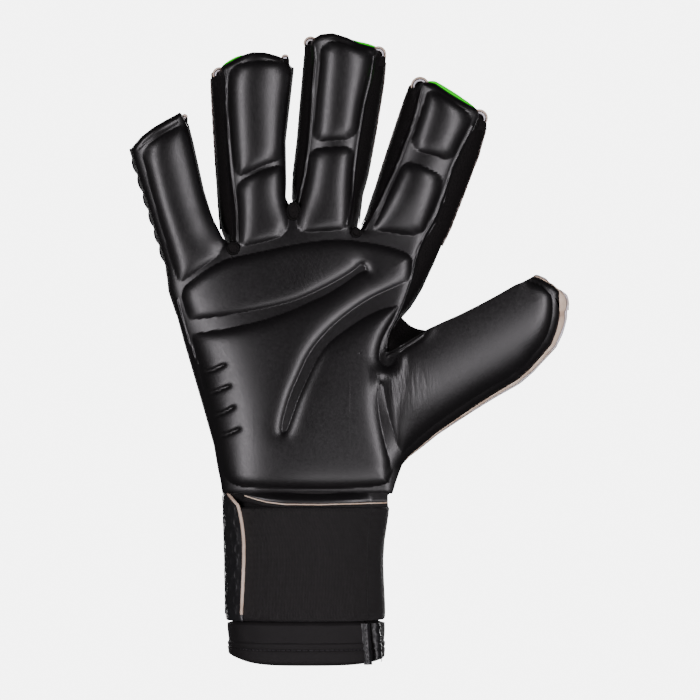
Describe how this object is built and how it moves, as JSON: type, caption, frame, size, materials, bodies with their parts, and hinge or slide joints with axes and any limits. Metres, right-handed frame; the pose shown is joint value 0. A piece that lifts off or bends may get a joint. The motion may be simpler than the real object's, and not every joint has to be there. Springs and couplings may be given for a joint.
{
  "type": "goalkeeper glove",
  "caption": "Right-hand goalkeeper glove, filled as if worn: moulded black palm, padded bending fingers and thumb, ribbed elastic wrist strap with peel-back tab, neoprene cuff.",
  "frame": {"origin": "centre of the cuff's mouth, on the plane of its hem", "axes": "+Z along the fingers, -Y out of the palm, +X towards the thumb"},
  "size_m": [0.1892, 0.0495, 0.2717],
  "materials": {
    "palm": "satin black moulded palm skin with fine grain",
    "backhand": "matt black moulded latex",
    "mesh": "black knitted mesh",
    "lining": "brushed dark grey knit",
    "neoprene": "matt black jersey-faced neoprene",
    "binding": "black semi-gloss binding tape",
    "elastic": "black ribbed woven elastic",
    "tab": "black moulded rubber with small hexagon relief",
    "hook_and_loop": "black hook and loop",
    "cut_edge": "raw cut edge of pale foam laminate",
    "accent": "bright green latex"
  },
  "bodies": {
    "hand": {"palm_shell": "palm", "back_shell": "backhand", "pinky_side_wall": "mesh", "index_side_wall": "mesh", "wrist_side_wall": "mesh", "finger_webs": "mesh", "palm_lining": "lining", "back_lining": "lining", "palm_base_trim": "cut_edge", "cuff_sleeve": "neoprene", "cuff_hem": "neoprene", "slit_bindings": "binding", "strap_anchor": "elastic", "loop_patch": "hook_and_loop"},
    "strap_band": {"elastic_band": "elastic", "tab_sewn_end": "tab", "tab_edge_trim": "cut_edge"},
    "strap_tab": {"closure_tab": "tab", "hook_patch": "hook_and_loop"},
    "pinky": {"pinky_pad": "palm", "pinky_backhand": "backhand", "pinky_gussets": "mesh", "pinky_tip_edge": "cut_edge"},
    "ring_lower": {"ring_lower_pad": "palm", "ring_lower_backhand": "backhand", "ring_lower_gussets": "mesh"},
    "ring_tip": {"ring_tip_pad": "palm", "ring_tip_backhand": "backhand", "ring_tip_gussets": "mesh", "ring_tip_edge": "cut_edge", "ring_tip_accent": "accent"},
    "middle_lower": {"middle_lower_pad": "palm", "middle_lower_backhand": "backhand", "middle_lower_gussets": "mesh"},
    "middle_tip": {"middle_tip_pad": "palm", "middle_tip_backhand": "backhand", "middle_tip_gussets": "mesh", "middle_tip_edge": "cut_edge", "middle_tip_accent": "accent"},
    "index_lower": {"index_lower_pad": "palm", "index_lower_backhand": "backhand", "index_lower_gussets": "mesh"},
    "index_tip": {"index_tip_pad": "palm", "index_tip_backhand": "backhand", "index_tip_gussets": "mesh", "index_tip_edge": "cut_edge", "index_tip_accent": "accent"},
    "thumb": {"thumb_pad": "palm", "thumb_backhand": "backhand", "thumb_gussets": "mesh", "thumb_tip_edge": "cut_edge", "thumb_edge_trim": "cut_edge"}
  },
  "joints": [
    {"name": "pinky_knuckle", "type": "hinge", "parent": "hand", "child": "pinky", "pos_m": [-0.0465, -0.006, 0.169], "axis": [1, 0, 0], "range_deg": [0, 60], "stiffness_Nm_per_rad": 0.05},
    {"name": "ring_knuckle", "type": "hinge", "parent": "hand", "child": "ring_lower", "pos_m": [-0.0195, -0.006, 0.182], "axis": [1, 0, 0], "range_deg": [0, 60], "stiffness_Nm_per_rad": 0.05},
    {"name": "ring_middle_joint", "type": "hinge", "parent": "ring_lower", "child": "ring_tip", "pos_m": [-0.0238, -0.007, 0.216], "axis": [1, 0, 0], "range_deg": [0, 70], "stiffness_Nm_per_rad": 0.05},
    {"name": "middle_knuckle", "type": "hinge", "parent": "hand", "child": "middle_lower", "pos_m": [0.0083, -0.006, 0.188], "axis": [1, 0, 0], "range_deg": [0, 60], "stiffness_Nm_per_rad": 0.05},
    {"name": "middle_middle_joint", "type": "hinge", "parent": "middle_lower", "child": "middle_tip", "pos_m": [0.0117, -0.007, 0.223], "axis": [1, 0, 0], "range_deg": [0, 70], "stiffness_Nm_per_rad": 0.05},
    {"name": "index_knuckle", "type": "hinge", "parent": "hand", "child": "index_lower", "pos_m": [0.0402, -0.006, 0.183], "axis": [1, 0, 0], "range_deg": [0, 60], "stiffness_Nm_per_rad": 0.05},
    {"name": "index_middle_joint", "type": "hinge", "parent": "index_lower", "child": "index_tip", "pos_m": [0.0533, -0.007, 0.217], "axis": [1, 0, 0], "range_deg": [0, 70], "stiffness_Nm_per_rad": 0.05},
    {"name": "thumb_base", "type": "hinge", "parent": "hand", "child": "thumb", "pos_m": [0.03785, -0.01, 0.111], "axis": [0.1465, 0, -0.9892], "range_deg": [0, 35], "stiffness_Nm_per_rad": 0.05},
    {"name": "strap_swing", "type": "hinge", "parent": "hand", "child": "strap_band", "pos_m": [0.036, 0.0005, 0.047], "axis": [0, 0, 1], "range_deg": [0, 40]},
    {"name": "tab_peel", "type": "hinge", "parent": "strap_band", "child": "strap_tab", "pos_m": [-0.0369, 0, 0.047], "axis": [0, 0, 1], "range_deg": [0, 160]}
  ],
  "couplings": [
    {"joint": "tab_peel", "follows": "strap_swing", "ratio": 4}
  ]
}
